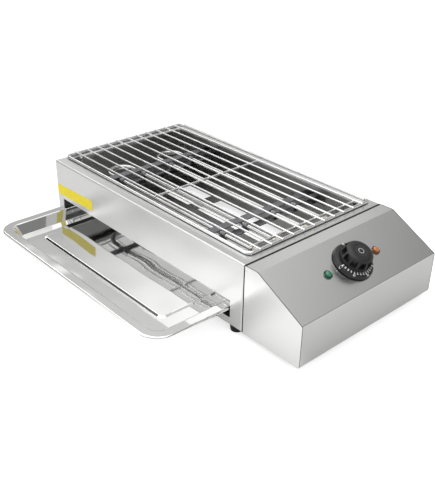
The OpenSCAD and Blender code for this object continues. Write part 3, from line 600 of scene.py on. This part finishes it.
weld = {
    "size": 0.0024, "flatness": 0.42, "vary": 0.12, "flatVary": 0.10, "sides": 12, "rings": 8, "seed": 7,
    "barCount": 11, "barPitch": 0.0212,
    "rows": {"crossWelds": dict(span=0.408, wires=3, level=0.1168),
             "endWelds": dict(span=0.438, wires=2, level=0.1174)},
}


def weldSizes(row):
    return {"Span": row["span"], "Depth": weld["barPitch"] * (weld["barCount"] - 1), "Rows": weld["barCount"],
            "Columns": row["wires"], "Size": weld["size"]}


def makeWeldTree():
    # one small weld bead where each bar crosses a wire
    tree, takes, gives = startTree("gridWelds", weldSizes(weld["rows"]["crossWelds"]))
    spots = addNode(tree, "GeometryNodeMeshGrid", {
        "Size X": takes["Span"], "Size Y": takes["Depth"], "Vertices X": takes["Columns"],
        "Vertices Y": takes["Rows"]}).outputs["Mesh"]
    bead = addNode(tree, "GeometryNodeMeshUVSphere", {
        "Segments": weld["sides"], "Rings": weld["rings"], "Radius": takes["Size"]}).outputs["Mesh"]
    smooth = addNode(tree, "GeometryNodeSetShadeSmooth", {"Geometry": bead}).outputs[0]
    wide = [1 + sign * weld["vary"] for sign in (-1, 1)]
    high = [weld["flatness"] * (1 + sign * weld["flatVary"]) for sign in (-1, 1)]
    least, most = zip(wide, wide, high)
    vary = addNode(tree, "FunctionNodeRandomValue", {0: least, 1: most, "Seed": weld["seed"]},
                   data_type="FLOAT_VECTOR")
    beads = addNode(tree, "GeometryNodeInstanceOnPoints", {
        "Points": spots, "Instance": smooth, "Scale": vary.outputs[0]}).outputs[0]
    closeTree(tree, gives, beads, finishes["grid_chrome"])
    return tree


weldTree = makeWeldTree()
for name, row in weld["rows"].items():
    place = Matrix.Translation((gridMiddle.x, gridMiddle.y, row["level"]))
    beads = growPiece(name, weldTree, weldSizes(row), place)
    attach(beads, "grid")
print("grid welds grown")


# printed marks of the dial

dialMarks = {
    "ticks": {"Radius": 0.0238, "Start": -90.0, "Step": 10.9375, "Count": 25, "Length": 0.0031,
              "Width": 0.0017, "Thickness": 0.0002},
    "numbers": ("50", "100", "150", "200", "250", "300"), "numberRadius": 0.0275, "numberStep": 43.75,
    "numberHeight": 0.0024, "capHeightShare": 0.7, "curveSteps": 3, "zeroRadius": 0.0018, "zeroSides": 20,
    "castFrom": 0.02, "lift": 0.00002, "colour": (0.94, 0.94, 0.92),
}
inkLook = {"grain": 2600.0, "range": (0.8, 1.2), "gloss": (0.42, 0.55), "bump": 0.1}


def inkFinish(name, colour):
    # printed ink: slightly uneven cover and a dull skin
    material, tree, shader, place = startMaterial(name)
    skin = placeGroup(tree, mouldSkin, {"Place": place, "Grain Size": inkLook["grain"]})
    feed(tree, shader, {
        "Base Color": shadeTone(tree, colour, skin["Tone"]),
        "Roughness": spread(tree, skin["Tone"], *inkLook["range"], *inkLook["gloss"])})
    feedBump(tree, shader, skin["Height"], inkLook["bump"], bumpDepth["ink"])
    return material


whiteInk = inkFinish("whiteInk", dialMarks["colour"])


def makeTickTree():
    # a row of short printed lines round the knob's skirt
    tree, takes, gives = startTree("dialTicks", dialMarks["ticks"])
    row = addNode(tree, "GeometryNodeMeshLine", {"Count": takes["Count"]}).outputs[0]
    index = addNode(tree, "GeometryNodeInputIndex").outputs[0]
    degrees = calc(tree, "ADD", takes["Start"], calc(tree, "MULTIPLY", index, takes["Step"]))
    angle = calc(tree, "RADIANS", degrees)
    spot = addNode(tree, "ShaderNodeCombineXYZ", {
        0: calc(tree, "MULTIPLY", calc(tree, "COSINE", angle), takes["Radius"]),
        1: calc(tree, "MULTIPLY", calc(tree, "SINE", angle), takes["Radius"])}).outputs[0]
    placed = addNode(tree, "GeometryNodeSetPosition", {"Geometry": row, "Position": spot}).outputs[0]
    size = addNode(tree, "ShaderNodeCombineXYZ", {
        0: takes["Length"], 1: takes["Width"], 2: takes["Thickness"]}).outputs[0]
    line = addNode(tree, "GeometryNodeMeshCube", {"Size": size}).outputs[0]
    turn = addNode(tree, "ShaderNodeCombineXYZ", {2: angle}).outputs[0]
    lines = addNode(tree, "GeometryNodeInstanceOnPoints", {
        "Points": placed, "Instance": line, "Rotation": turn}).outputs[0]
    closeTree(tree, gives, lines, whiteInk)
    return tree


skirt = nodes["knob_skirt"].data
skirtTree = BVHTree.FromPolygons([v.co for v in skirt.vertices], [p.vertices for p in skirt.polygons])


def layOnSkirt(piece):
    # drops every point along the knob's axis onto the skirt, keeping its own small height
    for vertex in piece.data.vertices:
        above = onSlope(vertex.co.x, vertex.co.y, dialMarks["castFrom"])
        hit = skirtTree.ray_cast(above, -slope["outward"])[0]
        vertex.co = hit + slope["outward"] * (vertex.co.z + dialMarks["lift"])


def makeNumber(words, angle):
    # one number, its foot towards the knob's axis, as flat faces about that axis
    curve = bpy.data.curves.new("dialNumber", "FONT")
    curve.body = words
    curve.size = dialMarks["numberHeight"] / dialMarks["capHeightShare"]
    curve.align_x = "CENTER"
    curve.align_y = "CENTER"
    curve.resolution_u = dialMarks["curveSteps"]
    letters = takeMesh(addObject("dialNumber", curve))
    letters.transform(Matrix.Rotation(angle, 4, "Z") @ Matrix.Translation((dialMarks["numberRadius"], 0, 0))
                      @ Matrix.Rotation(math.radians(90), 4, "Z"))
    return letters


def thicken(shape, height):
    # flat faces become closed plates of that height
    faces, rim = shape.faces[:], [edge for edge in shape.edges if edge.is_boundary]
    above = {vertex: shape.verts.new(vertex.co + Vector((0, 0, height))) for vertex in shape.verts[:]}
    for face in faces:
        shape.faces.new([above[vertex] for vertex in face.verts])
    for first, last in (edge.verts for edge in rim):
        shape.faces.new((first, last, above[last], above[first]))


def makeNumbers():
    # plain numbers round the skirt and a round mark at zero
    shape = bmesh.new()
    start, reach = dialMarks["ticks"]["Start"], dialMarks["numberRadius"]
    for i, words in enumerate(dialMarks["numbers"]):
        letters = makeNumber(words, math.radians(start + dialMarks["numberStep"] * (i + 1)))
        shape.from_mesh(letters)
        bpy.data.meshes.remove(letters)
    zero = (math.cos(math.radians(start)) * reach, math.sin(math.radians(start)) * reach, 0)
    bmesh.ops.create_circle(shape, cap_ends=True, segments=dialMarks["zeroSides"],
                            radius=dialMarks["zeroRadius"], matrix=Matrix.Translation(zero))
    bmesh.ops.triangulate(shape, faces=shape.faces)
    thicken(shape, dialMarks["ticks"]["Thickness"])
    return keepShape("dialNumbers", shape, whiteInk)


for piece in (growPiece("dialTicks", makeTickTree(), dialMarks["ticks"]), makeNumbers()):
    layOnSkirt(piece)
    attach(piece, "dial")
print("dial marks laid on the skirt")


# knob grip

grip = {
    "foot": 7.0, "footRise": 0.5, "footRound": 0.4, "belt": 9.5, "top": 26.0, "radius": 22.2,
    "crown": 9.7, "shoulder": 11.0, "fullness": 2.7, "dome": (8, 18, 28, 38, 48, 58, 67, 75, 82, 86, 90),
    "windows": 11, "firstWindow": -96.5, "windowWidth": 24.0, "windowDepth": 5.4, "windowLow": 12.8,
    "windowHigh": 22.6, "windowEdge": 0.3, "windowLevels": (15.0, 18.0, 20.5), "cheek": 1.6, "sill": 0.6,
    "capSeat": ((9.4, 25.9), (9.3, 24.8), (4.0, 24.8)),
}


def ringPoint(angle, reach, height, across=0.0):
    # millimetres from an axis square to the slope
    return onSlope(math.cos(angle) * reach / 1000, across + math.sin(angle) * reach / 1000, height / 1000)


def gripTurns():
    # angles round the grip, each with whether it lies inside a finger recess
    pitch, half = 360 / grip["windows"], grip["windowWidth"] / 2
    cheek, sill = grip["cheek"], grip["sill"]
    sides = ((-pitch / 2, 0), (-half - cheek, 0), (-half, 0), (-half + sill, 1), (-half / 2, 1),
             (0, 1), (half / 2, 1), (half - sill, 1), (half, 0), (half + cheek, 0))
    return [(math.radians(grip["firstWindow"] + i * pitch + offset), inside)
            for i in range(grip["windows"]) for offset, inside in sides]


def gripLevels():
    # heights up the grip, each with whether it lies inside the ring of recesses
    foot, low, high, edge = (grip[key] for key in ("foot", "windowLow", "windowHigh", "windowEdge"))
    side = [(foot, 0), (foot + grip["footRise"], 0), (grip["belt"], 0), (low, 0), (low + edge, 1)]
    side += [(height, 1) for height in grip["windowLevels"]] + [(high - edge, 1), (high, 0)]
    return side + [(high + (grip["top"] - high) * math.sin(math.radians(a)), 0) for a in grip["dome"]]


def makeGrip():
    # domed grip with a ring of square finger recesses low on its side
    turns = gripTurns()
    rings = []
    for height, level in gripLevels():
        share = max(0.0, (height - grip["shoulder"]) / (grip["top"] - grip["shoulder"]))
        fullness = max(0.0, 1 - share ** grip["fullness"]) ** (1 / grip["fullness"])
        reach = grip["crown"] + (grip["radius"] - grip["crown"]) * fullness
        if height == grip["foot"]:
            reach -= grip["footRound"]
        depth = grip["windowDepth"] * level
        rings.append([ringPoint(a, reach - depth * inside, height) for a, inside in turns])
    for reach, height in grip["capSeat"]:
        rings.append([ringPoint(a, reach, height) for a, _ in turns])
    return keepShape("knobGrip", wrapRings(rings), finishes["knob_black"], True)


knobGrip = makeGrip()
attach(knobGrip, "dial")
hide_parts("knob_grip")
print("domed grip made")


# lamp lenses

lens = {
    "sides": 48,
    "profile": ((6.5, 0.0), (6.5, 1.3), (6.3, 1.8), (5.9, 2.0), (5.45, 1.9), (5.2, 1.5), (4.95, 1.2),
                (4.75, 1.5), (4.65, 2.4), (4.4, 3.3), (3.9, 4.0), (3.1, 4.55), (2.1, 4.85), (1.0, 4.98)),
}


def makeLens(name, across, material):
    # flanged lens: raised rim, narrow groove and a dome in the middle
    turns = [2 * math.pi * k / lens["sides"] for k in range(lens["sides"])]
    rings = [[ringPoint(a, reach, height, across) for a in turns] for reach, height in lens["profile"]]
    return keepShape(name, wrapRings(rings), material, True)


for slot, look in lampLooks.items():
    lensPiece = makeLens(look["piece"], lampAcross(look["node"]), finishes[slot])
    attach(lensPiece, "housing")
    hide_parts(look["node"])
print("lamp lenses made")


# painted shade: dark strips in the gap between the fire box and the control box, and along the box's end plates

seam = {
    "left": 454.45, "right": 456.55, "depth": 3.0, "below": -0.03, "foot": 1.0, "corner": 2.0,
    "innerCorner": 0.1, "cornerSteps": 4,
    "jointWidth": 0.9, "jointLift": 0.02, "jointSunk": 0.2, "jointInset": 0.75,
    "plateMiddle": (490.0, 20.0), "plateSkin": 0.02, "plateGap": 0.2, "lowEdge": 0.5, "cornerSkip": 20.0,
}
# matt black strips that stand in for the shade in the gaps: painted shade
seamShadeFinish = mouldedFinish("seam_painted_shade", dict(
    colour=(0.012, 0.012, 0.012), roughness=0.7, grain=1400, bump=0.2, markSize=60, marks=0.1,
    dust=0.0, coat=0.0))


def seamLine(inset, corner):
    # front, top and back of the fire box's outline, drawn in by the inset
    depth, height = shellSize.y, shellSize.z
    line = [(inset, seam["foot"])]
    for middle, first, last in ((inset + corner, 180, 90), (depth - inset - corner, 90, 0)):
        for k in range(seam["cornerSteps"] + 1):
            a = math.radians(first + (last - first) * k / seam["cornerSteps"])
            line.append((middle + corner * math.cos(a), height - inset - corner + corner * math.sin(a)))
    return line + [(depth - inset, seam["foot"])]


def makeSeamShade():
    # dark strip in the gap between the fire box and the control box: painted shade in the gap
    outer = seamLine(seam["below"], seam["corner"] - seam["below"])
    inner = seamLine(seam["depth"], seam["innerCorner"])
    left, right = seam["left"], seam["right"]
    rings = [[inFrame(left, *far), inFrame(right, *far), inFrame(right, *near), inFrame(left, *near)]
             for far, near in zip(outer, inner)]
    return keepShape("boxSeamShade", wrapRings(rings, flatEnds=True), seamShadeFinish)


def coverPath():
    # outer line of the control box from the seam over the slope to the foot of the end face
    plate = [[side * 1000 - start for side, start in zip(v.co, shellLow)]
             for v in nodes["control_front_plate"].data.vertices]
    front = min(y for x, y, z in plate) + seam["plateSkin"]
    left = min(x for x, y, z in plate)
    middleX, middleZ = seam["plateMiddle"]
    spots = {(round(x, 2), round(z, 2)) for x, y, z in plate if y < front}
    ordered = sorted(spots, key=lambda spot: -math.atan2(spot[1] - middleZ, spot[0] - middleX))
    return [(x, z) for x, z in ordered if z > seam["lowEdge"] and x > left + seam["plateGap"]
            and math.hypot(x - left, z) > seam["cornerSkip"]]


def makeJointShade(name, y):
    # thin dark strip where an end plate meets the folded cover: painted shade along the joint
    path = coverPath()
    half, lift, sunk = seam["jointWidth"] / 2, seam["jointLift"], -seam["jointSunk"]
    rings = []
    for k, (x, z) in enumerate(path):
        before, after = path[max(k - 1, 0)], path[min(k + 1, len(path) - 1)]
        along = Vector((after[0] - before[0], after[1] - before[1])).normalized()
        rings.append([inFrame(x - along.y * up, y + side, z + along.x * up)
                      for side, up in ((-half, sunk), (-half, lift), (half, lift), (half, sunk))])
    return keepShape(name, wrapRings(rings, flatEnds=True), seamShadeFinish)


for piece in (makeSeamShade(), makeJointShade("frontJointShade", seam["jointInset"]),
              makeJointShade("backJointShade", shellSize.y - seam["jointInset"])):
    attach(piece, "housing")
print("seams sealed")


# blank sticker on the front wall

sticker = {
    "middle": (53.7, 55.6), "length": 103.5, "height": 18.0, "tilt": 2.0, "corner": 1.5, "cornerSteps": 6,
    # mirrored is the sticker's painted reflection tone
    "lift": 0.12, "sunk": 0.02, "colour": (0.93, 0.76, 0.02), "mirrored": (0.42, 0.37, 0.08),
}


def vinylWithPaintedReflection():
    # printed vinyl; where bright steel mirrors it, its colour turns to a painted reflection tone, darker and more
    # olive
    material = inkFinish("stickerVinyl", sticker["colour"])
    tree = material.node_tree
    shader = tree.nodes["Principled BSDF"]
    tone = shader.inputs["Base Color"].links[0].from_socket
    # glossy rays get the painted reflection tone
    mirrored = addNode(tree, "ShaderNodeLightPath").outputs["Is Glossy Ray"]
    feed(tree, shader, {"Base Color": mixTone(tree, mirrored, tone, sticker["mirrored"])})
    return material


def stickerRing():
    # outline with round corners, tilted about the sticker's middle
    corner, steps = sticker["corner"], sticker["cornerSteps"]
    halfLength, halfHeight = sticker["length"] / 2 - corner, sticker["height"] / 2 - corner
    lean = math.radians(sticker["tilt"])
    middleX, middleZ = sticker["middle"]
    ring = []
    for quarter, (sideX, sideZ) in enumerate(((1, 1), (-1, 1), (-1, -1), (1, -1))):
        for k in range(steps + 1):
            a = math.radians(90 * (quarter + k / steps))
            x, z = sideX * halfLength + corner * math.cos(a), sideZ * halfHeight + corner * math.sin(a)
            ring.append((middleX + x * math.cos(lean) - z * math.sin(lean),
                         middleZ + x * math.sin(lean) + z * math.cos(lean)))
    return ring


def makeSticker():
    rings = [[inFrame(x, y, z) for x, z in stickerRing()] for y in (-sticker["lift"], sticker["sunk"])]
    return keepShape("frontSticker", wrapRings(rings, flatEnds=True), vinylWithPaintedReflection())


frontSticker = makeSticker()
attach(frontSticker, "housing")
print("sticker laid on the front wall")


# studio: ranges say from where to where, and the light at either end

studio = {
    "floorSize": 6.0, "floorColour": (0.60, 0.60, 0.60), "floorPale": (0.8, 0.8, 0.8), "cloudSize": 3.0,
    "cloud": (0.3, 0.7, 0.0, 0.02), "floorRoughness": 0.9, "floorSheen": 0.1,
    "glowSeen": 0.68, "glowFront": (-0.15, -0.04, 0.40, 0.0), "glowSide": (-0.30, -0.10, 0.3, 1.0),
    "fill": 0.55, "lean": 0.3, "behind": (0.54, 0.78, 0.22, 0.66), "front": (-0.77, -0.64, 0.38, 1.66),
    "frontFade": (-0.3, 0.3, 1.0, 0.35), "turnBack": (-0.1, 0.35, 0.0, 1.0),
    "low": (0.24, 0.36, 1.0, 0.0), "lowBack": (0.0, 0.3, 0.0, 1.0), "overhead": (0.82, 0.98, 0.0, 2.6),
    "band": (0.08, 0.20, 0.06, 1.0), "bandEnd": (0.05, 0.35, 0.0, 0.85),
    "whiteAt": (-0.72, 0.18, 0.67), "white": (0.951, 0.978, 0.0, 2.7),
    "darkAt": (-0.737, -0.14, 0.661), "dark": (0.966, 0.979, 1.0, 0.10),
    "stripAt": (-0.546, 0.678, 0.492), "strip": (0.980, 0.998, 0.0, 0.78),
}


def askPath(tree):
    # whether the camera looks, and whether a mirror or a lens does
    path = addNode(tree, "ShaderNodeLightPath").outputs
    return path["Is Camera Ray"], calc(tree, "MAXIMUM", path["Is Glossy Ray"], path["Is Transmission Ray"])


def floorFinish():
    # pale floor, with a glow that metal mirrors in front of the grill
    material, tree, shader, place = startMaterial("studioFloor")
    cloud = spread(tree, noise(tree, place, studio["cloudSize"]), *studio["cloud"])
    seen, mirrored = askPath(tree)
    parts = split(tree, place)
    front = calc(tree, "MULTIPLY", spread(tree, parts[1], *studio["glowFront"]),
                 spread(tree, parts[0], *studio["glowSide"]))
    glow = calc(tree, "ADD", calc(tree, "MULTIPLY", seen, studio["glowSeen"]),
                calc(tree, "MULTIPLY", mirrored, front))
    feed(tree, shader, {
        "Base Color": mixTone(tree, cloud, studio["floorColour"], studio["floorPale"]),
        "Roughness": studio["floorRoughness"], "Specular IOR Level": studio["floorSheen"],
        "Emission Color": (1, 1, 1, 1), "Emission Strength": glow})
    return material


def makeFloor():
    mesh = bpy.data.meshes.new("studioFloor")
    half = studio["floorSize"] / 2
    corners = [(-half, -half, 0), (half, -half, 0), (half, half, 0), (-half, half, 0)]
    mesh.from_pydata(corners, [], [(0, 1, 2, 3)])
    mesh.materials.append(floorFinish())
    addObject("studioFloor", mesh)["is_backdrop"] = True


def roomLight(tree):
    # what the metal sees round it, by direction
    direction = addNode(tree, "ShaderNodeTexCoord").outputs["Generated"]
    x, y, z = split(tree, direction)
    # behind the grill the room is dim low down and lit higher up, in front it is dark on the left
    lean = calc(tree, "SUBTRACT", z, calc(tree, "MULTIPLY", x, studio["lean"]))
    front = calc(tree, "MULTIPLY", spread(tree, x, *studio["front"]), spread(tree, x, *studio["frontFade"]))
    room = mixValue(tree, spread(tree, y, *studio["turnBack"]), front, spread(tree, lean, *studio["behind"]))
    low = calc(tree, "MULTIPLY", spread(tree, z, *studio["low"]), spread(tree, y, *studio["lowBack"]))
    room = calc(tree, "MAXIMUM", room, calc(tree, "MAXIMUM", spread(tree, z, *studio["overhead"]), low))
    # a dark band just over the horizon draws the dark lines along bends and rolled rims
    band = calc(tree, "MAXIMUM", spread(tree, z, *studio["band"]), spread(tree, x, *studio["bandEnd"]))
    room = calc(tree, "MULTIPLY", room, band)
    # a white card whitens the grid's bars, a dark one draws the step of the tray's panel, a grey one
    # lifts the flat tops a little over the slope
    for card, operation in (("white", "MAXIMUM"), ("dark", "MULTIPLY"), ("strip", "MAXIMUM")):
        facing = addNode(tree, "ShaderNodeVectorMath", {0: direction, 1: studio[card + "At"]},
                         operation="DOT_PRODUCT").outputs["Value"]
        room = calc(tree, operation, room, spread(tree, facing, *studio[card]))
    return room


def makeWorld():
    world = bpy.data.worlds.new("studioWorld")
    world.use_nodes = True
    bpy.context.scene.world = world
    tree = world.node_tree
    seen, mirrored = askPath(tree)
    level = mixValue(tree, seen, mixValue(tree, mirrored, studio["fill"], roomLight(tree)), 1.0)
    feed(tree, tree.nodes["Background"], {"Color": (1, 1, 1, 1), "Strength": level})


lamps = {
    "aim": (0.0, 0.0, 0.05),
    "panels": {"keyPanel": dict(place=(-0.9, -1.3, 1.9), size=(1.4, 1.4), power=26),
               "sidePanel": dict(place=(1.7, -0.3, 1.3), size=(1.0, 1.4), power=10),
               "topPanel": dict(place=(0.1, 0.1, 2.2), size=(1.2, 1.2), power=12)},
}


def makeLamps():
    for name, plan in lamps["panels"].items():
        data = bpy.data.lights.new(name, "AREA")
        data.shape = "RECTANGLE"
        data.size, data.size_y = plan["size"]
        data.energy = plan["power"]
        lamp = addObject(name, data)
        lamp.location = plan["place"]
        lamp.visible_glossy = False
        aim = Vector(lamps["aim"]) - Vector(plan["place"])
        lamp.rotation_euler = aim.to_track_quat("-Z", "Y").to_euler()


camera = {"place": (0.743306, -0.648494, 0.584049), "bearing": -42.511, "height": 29.054, "roll": 1.061,
          "lens": 35.617, "sensor": 24.0, "nearest": 0.01}


def makeCamera():
    # stands where the photo was taken, its angles in degrees
    bearing, height, roll = (math.radians(camera[key]) for key in ("bearing", "height", "roll"))
    level = math.cos(height)
    forward = -Vector((level * math.cos(bearing), level * math.sin(bearing), math.sin(height)))
    side = forward.cross(Vector((0, 0, 1))).normalized()
    upright = side.cross(forward)
    right = side * math.cos(roll) + upright * math.sin(roll)
    up = upright * math.cos(roll) - side * math.sin(roll)
    data = bpy.data.cameras.new("photoCamera")
    data.sensor_fit = "VERTICAL"
    data.sensor_height = camera["sensor"]
    data.lens = camera["lens"]
    data.clip_start = camera["nearest"]
    turn = Matrix((right, up, -forward)).transposed().to_4x4()
    turn.translation = camera["place"]
    eye = addObject("photoCamera", data)
    eye.matrix_world = turn
    bpy.context.scene.camera = eye


makeFloor()
makeWorld()
makeLamps()
makeCamera()
bpy.context.scene.view_settings.view_transform = "Standard"
print("studio set up")

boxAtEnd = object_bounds()


def plainNumbers(value):
    if isinstance(value, (int, float)):
        return float(value)
    return [plainNumbers(v) for v in value]


{"cad": plainNumbers(boxAtLoad), "visual": plainNumbers(boxAtEnd)}
